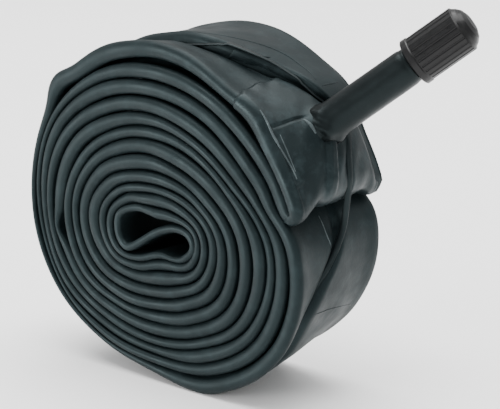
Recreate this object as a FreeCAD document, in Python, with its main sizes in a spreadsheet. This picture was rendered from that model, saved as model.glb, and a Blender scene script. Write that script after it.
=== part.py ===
"""A bicycle inner tube, pressed flat, doubled and rolled up, with a capped car-type valve.

The tube is a closed loop of flattened rubber. It is doubled into two strands, and the pair is
wound up counter-clockwise from its outer fold, beside the valve, to its inner fold at the core.
+Z is up, +Y runs along the roll's own axis, and the origin lies on the small flat face that
the roll stands on.
"""
import FreeCAD, Part

import math
import os

import Sketcher
from FreeCAD import Placement, Rotation, Vector

doc = FreeCAD.newDocument("InnerTube")

# ---------------------------------------------------------------- driving dimensions

DIMENSIONS = {
    # the roll
    "RollWidth": 32.0,
    "FlatThickness": 1.8,
    "CoreHeight": 39.2,
    "PatchThickness": 0.5,
    "PatchWidth": 29.0,
    "BandWidth": 1.6,
    "BandThickness": 0.7,
    # the valve's rubber, measured outwards from the tube's surface along the valve
    "StemRadius": 4.2,
    "StemRoot": 4.0,
    "StemTop": 23.4,
    "FlareRadius": 5.3,
    "FlareHeight": 4.2,
    "AirBoreRadius": 1.6,
    "StemTopChamfer": 0.5,
    # the brass insert
    "InsertRadius": 3.0,
    "InsertBottom": 6.0,
    "ThreadRadius": 3.87,
    "ThreadRootRadius": 3.4,
    "ThreadPitch": 0.79375,
    "ThreadBottom": 24.4,
    "InsertTop": 34.4,
    "LowerBoreRadius": 2.0,
    "SeatBottom": 22.4,
    "SeatTop": 25.2,
    "UpperBoreRadius": 2.7,
    # the valve core
    "PlugRadius": 2.7,
    "PlugBottom": 28.0,
    "PlugTop": 32.6,
    "PlugBoreRadius": 0.95,
    "PlugFlat": 1.5,
    "PlugFlatDepth": 1.6,
    "BarrelRadius": 1.75,
    "BarrelBoreRadius": 1.35,
    "BarrelBottom": 18.6,
    "BarrelFloor": 0.9,
    "PinHoleRadius": 0.68,
    "GasketTopRadius": 2.5,
    "GasketBottomRadius": 2.15,
    "GasketBottom": 23.0,
    "GasketTop": 24.4,
    "PinRadius": 0.6,
    "PinBottom": 16.9,
    "PinTop": 34.0,
    "CollarRadius": 1.2,
    "CollarBottom": 26.9,
    "CollarThickness": 0.6,
    "SpringWireRadius": 0.14,
    "SpringRadius": 0.98,
    "SpringTurns": 8.0,
    "CupRadius": 1.7,
    "CupBottom": 16.9,
    "CupThickness": 1.1,
    "CupRecessRadius": 1.45,
    "CupRecess": 0.5,
    "CupSealTop": 18.58,
    # the dust cap
    "CapRadius": 5.25,
    "CapBottom": 23.5,
    "CapShoulder": 36.3,
    "CapDomeTop": 38.9,
    "CapFlange": 1.7,
    "CapFlangeRadius": 5.45,
    "CapBoreRadius": 4.0,
    "CapRoof": 35.35,
    "RibCount": 24.0,
    "RibGrooveRadius": 0.3,
    "SealRadius": 3.8,
    "SealBottom": 34.46,
    "SealTop": 35.3,
}

sheet = doc.addObject("Spreadsheet::Sheet", "Dimensions")
for row, (alias, value) in enumerate(DIMENSIONS.items(), start=1):
    sheet.set(f"A{row}", alias)
    sheet.set(f"B{row}", str(value))
    sheet.setAlias(f"B{row}", alias)
doc.recompute()


def dim(alias):
    """The sheet's value of one dimension."""
    return float(sheet.get(alias))


# ---------------------------------------------------------------- the roll's winding

START_ANGLE = 7.0  # degrees, where the outer fold lies
TURNS = 5.93
CORE_CENTRE = (-5.3, -4.0)
CORE_SEMI_AXES = (10.6, 3.9)
# the outer lap's radius every 30 degrees, counter-clockwise from +X
RIM_RADII = (43.0, 38.6, 35.6, 35.8, 38.8, 42.8, 44.4, 42.8, 40.6, 40.6, 43.0, 44.2)
# every lap dips where the outer fold presses on it: degrees, width in degrees, depth
FOLD_DIP = (6.0, 15.0, 8.0)
# the outer fold rides up on the lap below it: width in turns, height
FOLD_LIFT = (0.06, 1.4)
# where the outermost strand stands off the next one: degrees, width in degrees, height
STAND_OFFS = ((95.0, 34.0, 1.8), (42.0, 18.0, 0.9), (288.0, 20.0, 1.0), (141.0, 9.0, 0.7))
# the inner fold opens into a teardrop: turns before the end, width in turns, height
TEARDROP = (0.04, 0.16, 2.0)
# the outer fold opens a little too: width in turns, height
FOLD_OPENING = (0.02, 0.35)
POINT_SPACING = 2.2
LAST_STEP = 0.02
KNOTS_PER_EDGE = 8
FLAT_CUT = 0.1  # the rubber pressed away where the roll stands


def bell(angle, centre, width):
    """A smooth bump of height 1 at one angle, in degrees."""
    away = (angle - centre + 180) % 360 - 180
    return math.exp(-((away / width) ** 2))


def rim_radius(angle):
    """The rim's radius at an angle, by a smooth curve through RIM_RADII."""
    step = 360 / len(RIM_RADII)
    first = math.floor(angle / step)
    t = angle / step - first
    r0, r1, r2, r3 = (RIM_RADII[(first + i) % len(RIM_RADII)] for i in (-1, 0, 1, 2))
    rise = (r2 - r0) / 2
    fall = (r3 - r1) / 2
    start = (2 * t**3 - 3 * t**2 + 1) * r1 + (t**3 - 2 * t**2 + t) * rise
    return start + (3 * t**2 - 2 * t**3) * r2 + (t**3 - t**2) * fall


def pair_middle(turn):
    """The point between the two strands, so many turns in from the outer fold."""
    degrees = START_ANGLE + 360 * turn
    angle = math.radians(degrees)
    inward = turn / TURNS
    at, width, depth = FOLD_DIP
    radius = rim_radius(degrees) - depth * bell(degrees, at, width) * max(1 - inward, 0) ** 0.7
    lift_width, lift = FOLD_LIFT
    radius += lift * math.exp(-((turn / lift_width) ** 2))
    core_x = CORE_CENTRE[0] + CORE_SEMI_AXES[0] * math.cos(angle)
    core_z = CORE_CENTRE[1] + CORE_SEMI_AXES[1] * math.sin(angle)
    x = (1 - inward) * radius * math.cos(angle) + inward * core_x
    z = (1 - inward) * radius * math.sin(angle) + inward * core_z
    return x, z


def outward(turn):
    """The unit normal of the pair's middle line, away from the core."""
    step = 1e-4
    x0, z0 = pair_middle(turn - step)
    x1, z1 = pair_middle(turn + step)
    length = math.hypot(x1 - x0, z1 - z0)
    return (z1 - z0) / length, (x0 - x1) / length


def half_gap(turn):
    """Half the distance between the pair's strands, a quarter of the distance between laps."""
    near = turn if turn < 1 else turn - 1
    x0, z0 = pair_middle(near)
    x1, z1 = pair_middle(near + 1)
    return math.hypot(x1 - x0, z1 - z0) / 4


def outer_strand(turn, extra=0.0):
    """A point of the outer strand, moved outwards by extra."""
    degrees = START_ANGLE + 360 * turn
    x, z = pair_middle(turn)
    nx, nz = outward(turn)
    stand_off = sum(height * bell(degrees, at, width) for at, width, height in STAND_OFFS)
    fade = min(max((1.02 - turn) / 0.06, 0), 1)
    offset = half_gap(turn) + stand_off * fade + extra
    return x + offset * nx, z + offset * nz


def inner_strand(turn):
    """A point of the inner strand."""
    x, z = pair_middle(turn)
    nx, nz = outward(turn)
    before_end, width, height = TEARDROP
    offset = half_gap(turn) + height * math.exp(-(((turn - TURNS + before_end) / width) ** 2))
    opening_width, opening = FOLD_OPENING
    offset += opening * math.exp(-((turn / opening_width) ** 2))
    return x - offset * nx, z - offset * nz


def fold_points(start, end, direction, count):
    """Points round a U-shaped fold from start to end, bulging towards direction."""
    middle = ((start[0] + end[0]) / 2, (start[1] + end[1]) / 2)
    radius = math.dist(start, end) / 2
    points = []
    for i in range(1, count):
        angle = math.pi * i / count
        along = math.cos(angle)
        across = radius * math.sin(angle)
        points.append((
            middle[0] + along * (start[0] - middle[0]) + across * direction[0],
            middle[1] + along * (start[1] - middle[1]) + across * direction[1],
        ))
    return points


def travel(turn):
    """The unit direction of the winding at a turn, towards the core."""
    nx, nz = outward(turn)
    return -nz, nx


def loop_points():
    """The closed middle line of the whole flattened tube, in order."""
    turns = []
    turn = 0.0
    while turn < TURNS - LAST_STEP:
        turns.append(turn)
        turn += POINT_SPACING / (2 * math.pi * math.dist(pair_middle(turn), CORE_CENTRE))
    turns.append(TURNS)
    outer = [outer_strand(turn) for turn in turns]
    inner = [inner_strand(turn) for turn in turns]
    core_fold = fold_points(outer[-1], inner[-1], travel(TURNS), 8)
    tx, tz = travel(0)
    outer_fold = fold_points(inner[0], outer[0], (-tx, -tz), 6)
    return outer + core_fold + inner[::-1] + outer_fold


FLOOR = -dim("CoreHeight")


def on_flat(points, lift):
    """The points, with none lower than the standing face by less than lift."""
    return [(x, max(z, FLOOR + lift)) for x, z in points]


def offset_loop(points, distance):
    """A closed line beside a closed line, to its left where distance is positive."""
    moved = []
    for i, (x, z) in enumerate(points):
        x0, z0 = points[i - 1]
        x1, z1 = points[(i + 1) % len(points)]
        length = math.hypot(x1 - x0, z1 - z0)
        moved.append((x - distance * (z1 - z0) / length, z + distance * (x1 - x0) / length))
    return moved


def closed_wire(points, y):
    """A smooth closed wire of many edges through points of the XZ plane, lifted to the origin."""
    curve = Part.BSplineCurve()
    vectors = [Vector(x, y, z - FLOOR) for x, z in points]
    curve.interpolate(Points=vectors, PeriodicFlag=True)
    knots = curve.getKnots()
    cuts = knots[:-1:KNOTS_PER_EDGE] + knots[-1:]
    edges = []
    for start, end in zip(cuts, cuts[1:]):
        stretch = curve.copy()
        stretch.segment(start, end)
        edges.append(stretch.toShape())
    return Part.Wire(edges)


def open_edge(points, y):
    """A smooth open edge through points of the XZ plane, at one Y, lifted to the origin."""
    curve = Part.BSplineCurve()
    curve.interpolate([Vector(x, y, z - FLOOR) for x, z in points])
    return curve.toShape()


def strip(inner_line, outer_line, y, width):
    """A solid strip of one width between two open lines."""
    inner_edge = open_edge(inner_line, y)
    outer_edge = open_edge(outer_line[::-1], y)
    ends = []
    for start, end in ((inner_line[-1], outer_line[-1]), (outer_line[0], inner_line[0])):
        first = Vector(start[0], y, start[1] - FLOOR)
        last = Vector(end[0], y, end[1] - FLOOR)
        ends.append(Part.LineSegment(first, last).toShape())
    face = Part.Face(Part.Wire([inner_edge, ends[0], outer_edge, ends[1]]))
    return face.extrude(Vector(0, width, 0))


def add_shape(name, shape):
    """A document object that holds a shape worked out from the sheet."""
    feature = doc.addObject("Part::Feature", name)
    feature.Label = name
    feature.Shape = shape
    return feature


def make_inner_tube():
    """The flattened tube: one closed ribbon, wound up."""
    half = dim("FlatThickness") / 2
    width = dim("RollWidth")
    line = on_flat(loop_points(), half - FLAT_CUT)
    outline = closed_wire(offset_loop(line, half), -width / 2)
    inside = closed_wire(offset_loop(line, -half), -width / 2)
    longer, shorter = sorted((outline, inside), key=lambda wire: -Part.Face(wire).Area)
    ring = Part.Face(longer).cut(Part.Face(shorter))
    ribbon = ring.Faces[0].extrude(Vector(0, width, 0))
    ground = Part.makeBox(2 * width, width, width, Vector(-width, -width / 2, -width))
    return add_shape("inner_tube", ribbon.cut(ground))


PATCH_TURNS = (0.004, 0.132)


def hull(points):
    """The convex hull of some points, counter-clockwise."""
    def half_hull(ordered):
        kept = []
        for point in ordered:
            while len(kept) > 1:
                (x0, z0), (x1, z1) = kept[-2:]
                if (x1 - x0) * (point[1] - z0) - (z1 - z0) * (point[0] - x0) > 0:
                    break
                kept.pop()
            kept.append(point)
        return kept[:-1]

    ordered = sorted(points)
    return half_hull(ordered) + half_hull(ordered[::-1])


def evenly_spaced(points, count):
    """Points at even distances along a closed line."""
    closed = points + points[:1]
    lengths = [math.dist(closed[i], closed[i + 1]) for i in range(len(points))]
    spacing = sum(lengths) / count
    spaced = []
    passed = 0.0
    for i, length in enumerate(lengths):
        while len(spaced) < count and len(spaced) * spacing <= passed + length:
            t = (len(spaced) * spacing - passed) / length
            (x0, z0), (x1, z1) = closed[i:i + 2]
            spaced.append((x0 + t * (x1 - x0), z0 + t * (z1 - z0)))
        passed += length
    return spaced


# the line of the band's middle round the roll: degrees and Y. It steps aside round the valve.
BAND_LINE = (
    (-90.0, -12.0), (-60.0, -12.5), (-30.0, -11.2), (-20.0, -7.4), (-14.0, -4.0), (-7.0, -0.8),
    (0.0, 1.0), (8.0, 1.5), (15.0, 1.9), (22.0, 2.7), (28.0, 4.2), (32.0, 5.9), (35.5, 6.8),
    (39.5, 5.8), (43.0, 4.0), (47.0, 2.3), (54.0, 0.6), (62.0, -1.3), (69.0, -4.0), (78.0, -5.9),
    (92.0, -7.3), (140.0, -8.0), (220.0, -9.0), (270.0, -12.0),
)
BAND_SINK = 0.3  # how far the band sinks into the rubber under the roll


def band_side(x, z):
    """The Y of the band's near edge where it passes over a point of the roll."""
    degrees = math.degrees(math.atan2(z, x))
    if degrees < BAND_LINE[0][0]:
        degrees += 360
    last = len(BAND_LINE) - 2
    first = max(i for i in range(last + 1) if BAND_LINE[i][0] <= degrees)
    (x1, y1), (x2, y2) = BAND_LINE[first:first + 2]
    x0, y0 = BAND_LINE[first - 1] if first else (x1 - 50, BAND_LINE[-2][1])
    x3, y3 = BAND_LINE[first + 2] if first < last else (x2 + 30, BAND_LINE[1][1])
    t = (degrees - x1) / (x2 - x1)
    rise = (y2 - y0) / (x2 - x0) * (x2 - x1)
    fall = (y3 - y1) / (x3 - x1) * (x2 - x1)
    start = (2 * t**3 - 3 * t**2 + 1) * y1 + (t**3 - 2 * t**2 + t) * rise
    middle = start + (3 * t**2 - 2 * t**3) * y2 + (t**3 - t**2) * fall
    return middle - dim("BandWidth") / 2


def make_retaining_band():
    """The stretched band: it takes the shortest way round the roll and passes the valve."""
    surface = dim("FlatThickness") / 2
    thickness = dim("BandThickness")
    last = PATCH_TURNS[1]
    laps = [i / 90 for i in range(91)]
    rim = [outer_strand(t, surface + (dim("PatchThickness") if t < last else 0)) for t in laps]
    inside = evenly_spaced(hull(on_flat(rim, thickness + BAND_SINK)), 72)
    outside = on_flat(offset_loop(inside, -thickness), BAND_SINK)
    edges = []
    for line, shift in ((inside, 0), (inside, 1), (outside, 1), (outside, 0)):
        curve = Part.BSplineCurve()
        vectors = [
            Vector(x, band_side(x, z) + shift * dim("BandWidth"), z - FLOOR) for x, z in line
        ]
        curve.interpolate(Points=vectors, PeriodicFlag=True)
        edges.append(curve.toShape())
    faces = [Part.makeRuledSurface(edges[i], edges[(i + 1) % 4]) for i in range(4)]
    solid = Part.Solid(Part.Shell(faces))
    if solid.Volume < 0:
        solid.reverse()
    return add_shape("retaining_band", solid)


# ---------------------------------------------------------------- the valve

VALVE_BASE = (33.0, -0.4, 22.9)  # where the stem leaves the tube, before the lift to the origin
VALVE_DIRECTION = Vector(0.695, 0.393, 0.601)

valve_place = Placement(
    Vector(VALVE_BASE[0], VALVE_BASE[1], VALVE_BASE[2] - FLOOR),
    Rotation(Vector(0, 0, 1), VALVE_DIRECTION),
)


def make_body(name):
    """A PartDesign body that stands on the valve's base, along the valve."""
    body = doc.addObject("PartDesign::Body", name)
    body.Label = name
    body.Placement = valve_place
    return body


def plane_of(body, role):
    """One of a body's own origin planes."""
    return next(f for f in body.Origin.OriginFeatures if f.Role == role)


def add_profile(body, name, corners):
    """A closed half-section in the body's XZ plane: each corner is a radius and a height.

    A corner's numbers are expressions of the sheet's aliases, and each is held by a driving
    distance from the sketch's axes.
    """
    sketch = body.newObject("Sketcher::SketchObject", name)
    sketch.AttachmentSupport = (plane_of(body, "XZ_Plane"), [""])
    sketch.MapMode = "FlatFace"
    values = [(evaluate(radius), evaluate(height)) for radius, height in corners]
    for i, start in enumerate(values):
        end = values[(i + 1) % len(values)]
        sketch.addGeometry(Part.LineSegment(Vector(*start, 0), Vector(*end, 0)), False)
    count = len(values)
    for i in range(count):
        following = (i + 1) % count
        sketch.addConstraint(Sketcher.Constraint("Coincident", i, 2, following, 1))
    for i, (radius, height) in enumerate(corners):
        for kind, text, value in (("DistanceX", radius, values[i][0]), ("DistanceY", height, values[i][1])):
            if value == 0:
                on_axis = -2 if kind == "DistanceX" else -1
                sketch.addConstraint(Sketcher.Constraint("PointOnObject", i, 1, on_axis))
                continue
            index = sketch.addConstraint(Sketcher.Constraint(kind, -1, 1, i, 1, value))
            sketch.setExpression(f"Constraints[{index}]", bound(text))
    return sketch


def bound(text):
    """An expression of the sheet's aliases, written as FreeCAD wants it."""
    words = text.split()
    return " ".join(f"Dimensions.{word}" if word in DIMENSIONS else word for word in words)


def evaluate(text):
    """The value of such an expression: aliases and numbers joined by + or -."""
    total = 0.0
    sign = 1
    for word in text.split():
        if word in "+-":
            sign = 1 if word == "+" else -1
            continue
        total += sign * (dim(word) if word in DIMENSIONS else float(word))
    return total


def revolve(body, sketch, name, kind="Revolution"):
    """Turn a half-section round the valve's axis: a Revolution adds and a Groove takes away."""
    feature = body.newObject(f"PartDesign::{kind}", name)
    feature.Profile = sketch
    feature.ReferenceAxis = (sketch, ["V_Axis"])
    feature.Angle = 360
    sketch.Visibility = False
    return feature


def turned_body(name, corners):
    """A piece made by turning one half-section."""
    body = make_body(name)
    sketch = add_profile(body, f"{name}_section", corners)
    revolve(body, sketch, f"{name}_turned")
    return body


def outer_layer(bottom, top, turns, width=None):
    """A solid layer along the outermost strand, between two heights over its middle line."""
    first, last = turns
    count = 14
    steps = [first + (last - first) * i / count for i in range(count + 1)]
    lower = [outer_strand(turn, bottom) for turn in steps]
    upper = [outer_strand(turn, top) for turn in steps]
    width = width or dim("RollWidth")
    return strip(lower, upper, -width / 2, width)


def make_valve_patch():
    """The patch bonded to the outermost strand, with the valve's air hole."""
    surface = dim("FlatThickness") / 2
    layer = outer_layer(surface, surface + dim("PatchThickness"), PATCH_TURNS, dim("PatchWidth"))
    air = Part.makeCylinder(dim("AirBoreRadius"), 2 * dim("StemRoot"), Vector(0, 0, -dim("StemRoot")))
    air.Placement = valve_place.multiply(air.Placement)
    return add_shape("valve_patch", layer.cut(air))


def make_valve_stem():
    """The rubber on the stem, flared where it is bonded to the patch."""
    blank = turned_body("valve_stem_blank", [
        ("InsertRadius", "InsertBottom"),
        ("InsertRadius", "StemTop"),
        ("StemRadius - StemTopChamfer", "StemTop"),
        ("StemRadius", "StemTop - StemTopChamfer"),
        ("StemRadius", "FlareHeight"),
        ("StemRadius + 0.3", "FlareHeight - 1.4"),
        ("FlareRadius", "1.0"),
        ("FlareRadius", "0 - StemRoot"),
        ("AirBoreRadius", "0 - StemRoot"),
        ("AirBoreRadius", "InsertBottom"),
    ])
    surface = dim("FlatThickness") / 2 + dim("PatchThickness")
    below = add_shape("ground_under_valve", outer_layer(-2 * dim("StemRoot"), surface, PATCH_TURNS))
    stem = doc.addObject("Part::Cut", "valve_stem_rubber")
    stem.Label = "valve_stem_rubber"
    stem.Base = blank
    stem.Tool = below
    return stem


def make_valve_insert():
    """The brass stem: a bore with a tapered seat, and a thread that takes the cap."""
    blank = turned_body("valve_insert_blank", [
        ("LowerBoreRadius", "InsertBottom"),
        ("InsertRadius", "InsertBottom"),
        ("InsertRadius", "StemTop"),
        ("ThreadRootRadius", "StemTop"),
        ("ThreadRootRadius", "ThreadBottom - 0.6"),
        ("ThreadRadius", "ThreadBottom"),
        ("ThreadRadius", "InsertTop - 0.5"),
        ("ThreadRootRadius", "InsertTop"),
        ("UpperBoreRadius", "InsertTop"),
        ("UpperBoreRadius", "SeatTop"),
        ("LowerBoreRadius", "SeatBottom"),
    ])
    doc.recompute()
    pitch = dim("ThreadPitch")
    root = dim("ThreadRootRadius")
    bottom = dim("ThreadBottom") - pitch
    height = dim("InsertTop") + pitch - bottom
    crest = dim("ThreadRadius") + 0.05
    helix = Part.makeHelix(pitch, height, crest)
    groove = Part.makePolygon([
        Vector(root, 0, 0),
        Vector(crest, 0, 0.42 * pitch),
        Vector(crest, 0, -0.42 * pitch),
        Vector(root, 0, 0),
    ])
    cutter = Part.Wire(helix.Edges).makePipeShell([groove], True, True)
    cutter.translate(Vector(0, 0, bottom))
    plain = blank.Shape.copy()
    plain.Placement = Placement()
    threaded = plain.cut(cutter)
    feature = add_shape("valve_insert", threaded)
    feature.Placement = valve_place
    return feature


def make_core_plug():
    """The screwed top of the core, with two flats for its key."""
    body = turned_body("core_plug", [
        ("PlugBoreRadius", "PlugBottom"),
        ("PlugRadius", "PlugBottom"),
        ("PlugRadius", "PlugTop"),
        ("PlugBoreRadius", "PlugTop"),
    ])
    doc.recompute()
    before = body.Shape.Volume
    sketch = body.newObject("Sketcher::SketchObject", "core_plug_flats_outline")
    sketch.AttachmentSupport = (plane_of(body, "XY_Plane"), [""])
    sketch.MapMode = "FlatFace"
    sketch.AttachmentOffset = Placement(Vector(0, 0, dim("PlugTop")), Rotation())
    near = dim("PlugFlat")
    far = dim("PlugRadius") + 0.5
    line = 0
    for side in (1, -1):
        corners = [(side * near, -far), (side * far, -far), (side * far, far), (side * near, far)]
        for i in range(4):
            first = Vector(*corners[i], 0)
            last = Vector(*corners[(i + 1) % 4], 0)
            sketch.addGeometry(Part.LineSegment(first, last), False)
        for i in range(4):
            sketch.addConstraint(
                Sketcher.Constraint("Coincident", line + i, 2, line + (i + 1) % 4, 1)
            )
        line += 4
    pocket = body.newObject("PartDesign::Pocket", "core_plug_flats")
    pocket.Profile = sketch
    pocket.Length = dim("PlugFlatDepth")
    pocket.setExpression("Length", "Dimensions.PlugFlatDepth")
    doc.recompute()
    if body.Shape.Volume >= before:
        raise ValueError("the core plug's flats cut nothing")
    return body


def make_core_barrel():
    """The core's body: a tube that holds the spring, with a floor that the pin passes."""
    return turned_body("core_barrel", [
        ("PinHoleRadius", "BarrelBottom"),
        ("BarrelRadius", "BarrelBottom"),
        ("BarrelRadius", "PlugBottom"),
        ("BarrelBoreRadius", "PlugBottom"),
        ("BarrelBoreRadius", "BarrelBottom + BarrelFloor"),
        ("PinHoleRadius", "BarrelBottom + BarrelFloor"),
    ])


def make_core_gasket():
    """The tapered ring that seals the barrel in the insert's seat."""
    return turned_body("core_gasket", [
        ("BarrelRadius", "GasketBottom"),
        ("GasketBottomRadius", "GasketBottom"),
        ("GasketTopRadius", "GasketTop"),
        ("BarrelRadius", "GasketTop"),
    ])


def make_core_pin():
    """The pin, with the collar that the spring pushes on."""
    return turned_body("core_pin", [
        ("0", "PinBottom"),
        ("PinRadius", "PinBottom"),
        ("PinRadius", "CollarBottom"),
        ("CollarRadius", "CollarBottom"),
        ("CollarRadius", "CollarBottom + CollarThickness"),
        ("PinRadius", "CollarBottom + CollarThickness"),
        ("PinRadius", "PinTop - 0.2"),
        ("PinRadius - 0.2", "PinTop"),
        ("0", "PinTop"),
    ])


def make_core_spring():
    """The coil spring between the barrel's floor and the pin's collar."""
    wire = dim("SpringWireRadius")
    bottom = dim("BarrelBottom") + dim("BarrelFloor") + wire + 0.02
    top = dim("CollarBottom") - wire - 0.02
    height = top - bottom
    helix = Part.makeHelix(height / dim("SpringTurns"), height, dim("SpringRadius"))
    circle = Part.makeCircle(wire, Vector(dim("SpringRadius"), 0, 0), Vector(0, 1, 0))
    coil = Part.Wire(helix.Edges).makePipeShell([Part.Wire([circle])], True, True)
    coil.translate(Vector(0, 0, bottom))
    feature = add_shape("core_spring", coil)
    feature.Placement = valve_place.multiply(coil.Placement)
    return feature


def make_core_cup():
    """The metal cup fixed to the pin's foot."""
    return turned_body("core_cup", [
        ("PinRadius", "CupBottom"),
        ("CupRadius", "CupBottom"),
        ("CupRadius", "CupBottom + CupThickness"),
        ("CupRecessRadius", "CupBottom + CupThickness"),
        ("CupRecessRadius", "CupBottom + CupRecess"),
        ("PinRadius", "CupBottom + CupRecess"),
    ])


def make_core_cup_seal():
    """The rubber washer in the cup, which closes the barrel's foot."""
    return turned_body("core_cup_seal", [
        ("PinRadius", "CupBottom + CupRecess"),
        ("CupRecessRadius", "CupBottom + CupRecess"),
        ("CupRecessRadius", "CupSealTop"),
        ("PinRadius", "CupSealTop"),
    ])


def make_cap_shell():
    """The dust cap: a domed shell with a rib between each two grooves of its grip."""
    body = turned_body("cap_shell", [
        ("CapBoreRadius", "CapBottom"),
        ("CapFlangeRadius - 0.25", "CapBottom"),
        ("CapFlangeRadius", "CapBottom + 0.25"),
        ("CapFlangeRadius", "CapBottom + CapFlange - 0.25"),
        ("CapRadius", "CapBottom + CapFlange"),
        ("CapRadius", "CapShoulder"),
        ("CapRadius - 0.45", "CapShoulder + 0.35"),
        ("CapRadius - 0.9", "CapShoulder + 1.05"),
        ("CapRadius - 1.75", "CapShoulder + 1.85"),
        ("CapRadius - 3.1", "CapShoulder + 2.4"),
        ("0", "CapDomeTop"),
        ("0", "CapRoof"),
        ("CapBoreRadius", "CapRoof"),
    ])
    doc.recompute()
    before = body.Shape.Volume
    sketch = body.newObject("Sketcher::SketchObject", "cap_groove_outline")
    sketch.AttachmentSupport = (plane_of(body, "XY_Plane"), [""])
    sketch.MapMode = "FlatFace"
    sketch.AttachmentOffset = Placement(Vector(0, 0, dim("CapShoulder")), Rotation())
    centre = Vector(dim("CapRadius") + 0.1, 0, 0)
    sketch.addGeometry(Part.Circle(centre, Vector(0, 0, 1), dim("RibGrooveRadius")), False)
    sketch.addConstraint(Sketcher.Constraint("PointOnObject", 0, 3, -1))
    away = sketch.addConstraint(Sketcher.Constraint("DistanceX", -1, 1, 0, 3, centre.x))
    sketch.setExpression(f"Constraints[{away}]", "Dimensions.CapRadius + 0.1")
    size = sketch.addConstraint(Sketcher.Constraint("Radius", 0, dim("RibGrooveRadius")))
    sketch.setExpression(f"Constraints[{size}]", "Dimensions.RibGrooveRadius")
    groove = body.newObject("PartDesign::Pocket", "cap_groove")
    groove.Profile = sketch
    groove.Length = 10
    groove.setExpression(
        "Length", "Dimensions.CapShoulder - Dimensions.CapBottom - Dimensions.CapFlange - 0.2"
    )
    doc.recompute()
    pattern = body.newObject("PartDesign::PolarPattern", "cap_grooves")
    pattern.Originals = [groove]
    pattern.Axis = (sketch, ["N_Axis"])
    pattern.Angle = 360
    pattern.Occurrences = int(dim("RibCount"))
    body.Tip = pattern
    doc.recompute()
    if body.Shape.Volume >= before - 5:
        raise ValueError("the cap's grooves cut too little")
    return body


def make_cap_seal():
    """The soft washer in the cap's roof."""
    return turned_body("cap_seal", [
        ("0", "SealBottom"),
        ("SealRadius", "SealBottom"),
        ("SealRadius", "SealTop"),
        ("0", "SealTop"),
    ])


pieces = [
    make_inner_tube(),
    make_valve_patch(),
    make_valve_stem(),
    make_valve_insert(),
    make_core_plug(),
    make_core_barrel(),
    make_core_gasket(),
    make_core_pin(),
    make_core_spring(),
    make_core_cup(),
    make_core_cup_seal(),
    make_cap_shell(),
    make_cap_seal(),
    make_retaining_band(),
]
doc.recompute()

# ---------------------------------------------------------------- checks and files

for item in doc.Objects:
    if "Invalid" in item.State or "Error" in item.State:
        raise ValueError(f"{item.Name} is {item.State}")
for piece in pieces:
    if piece.Shape.isNull() or not piece.Shape.isValid():
        raise ValueError(f"{piece.Label} has no valid shape")

os.makedirs("parts", exist_ok=True)
for piece in pieces:
    piece.Shape.exportStep(f"parts/{piece.Label}.step")
    box = piece.Shape.BoundBox
    print(
        f"{piece.Label}: {piece.Shape.Volume:.1f} mm3, {len(piece.Shape.Solids)} solids,"
        f" x {box.XMin:.1f} to {box.XMax:.1f}, y {box.YMin:.1f} to {box.YMax:.1f},"
        f" z {box.ZMin:.1f} to {box.ZMax:.1f}"
    )
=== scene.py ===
"""The looks of a rolled bicycle inner tube: rubber by mesh work, materials, light and camera."""
import math

import bpy
import numpy as np
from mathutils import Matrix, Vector
from mathutils.bvhtree import BVHTree


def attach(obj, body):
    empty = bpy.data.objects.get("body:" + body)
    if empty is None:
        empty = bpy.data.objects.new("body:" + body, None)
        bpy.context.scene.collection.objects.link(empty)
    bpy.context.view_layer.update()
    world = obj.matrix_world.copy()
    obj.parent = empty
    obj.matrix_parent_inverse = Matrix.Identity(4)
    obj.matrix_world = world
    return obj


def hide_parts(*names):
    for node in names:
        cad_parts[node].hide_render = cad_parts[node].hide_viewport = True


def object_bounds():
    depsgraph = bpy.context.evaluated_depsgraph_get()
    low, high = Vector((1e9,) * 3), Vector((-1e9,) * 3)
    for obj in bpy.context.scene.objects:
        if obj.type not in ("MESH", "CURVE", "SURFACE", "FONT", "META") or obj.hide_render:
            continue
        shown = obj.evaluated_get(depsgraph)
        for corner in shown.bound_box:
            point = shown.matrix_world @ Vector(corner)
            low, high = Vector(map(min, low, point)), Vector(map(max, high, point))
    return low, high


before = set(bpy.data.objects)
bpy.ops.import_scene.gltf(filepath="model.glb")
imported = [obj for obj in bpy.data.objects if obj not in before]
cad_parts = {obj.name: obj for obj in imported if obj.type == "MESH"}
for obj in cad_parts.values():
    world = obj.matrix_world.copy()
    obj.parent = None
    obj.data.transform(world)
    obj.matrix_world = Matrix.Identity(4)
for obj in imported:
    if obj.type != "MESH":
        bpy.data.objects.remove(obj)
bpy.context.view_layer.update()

MM = 0.001

# ---------------------------------------------------------------- the roll's winding, in mm

# All laps are measured from the middle of the core. Each row is one lap, and its twelve numbers
# are how far out a groove of the near face lies, every 30 degrees from the +X side, anticlockwise.
# A lap groove parts one lap from the next; the first row is the outside of the roll.
# More than half of these numbers and of the fold grooves' are copied from a separate program, which
# listed the dark places along rays of the photograph. They were sorted into laps.
CORE_CENTRE = np.array([-5.3, -4.0])
LAP_GROOVES = (
    (46.6, 43.7, 41.0, 40.6, 42.9, 41.8, 40.1, 37.9, 35.1, 35.1, 40.5, 45.2),
    (43.8, 36.5, 34.4, 34.0, 35.8, 38.0, 37.2, 35.6, 31.8, 30.4, 33.4, 37.0),
    (36.0, 28.6, 26.0, 26.3, 28.2, 32.0, 33.0, 31.2, 27.0, 26.0, 27.5, 30.8),
    (29.8, 24.4, 21.2, 20.4, 21.9, 24.8, 26.7, 26.0, 22.1, 19.8, 20.8, 23.4),
    (21.8, 16.6, 13.9, 13.1, 14.4, 18.1, 21.5, 20.2, 16.0, 13.8, 14.5, 17.2),
    (16.4, 11.9, 9.0, 8.0, 8.8, 12.1, 15.4, 14.4, 10.2, 7.6, 7.9, 12.2),
    (12.4, 4.7, 2.4, 2.4, 3.0, 5.9, 10.6, 10.6, 10.6, 10.6, 10.6, 10.6),
)
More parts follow.
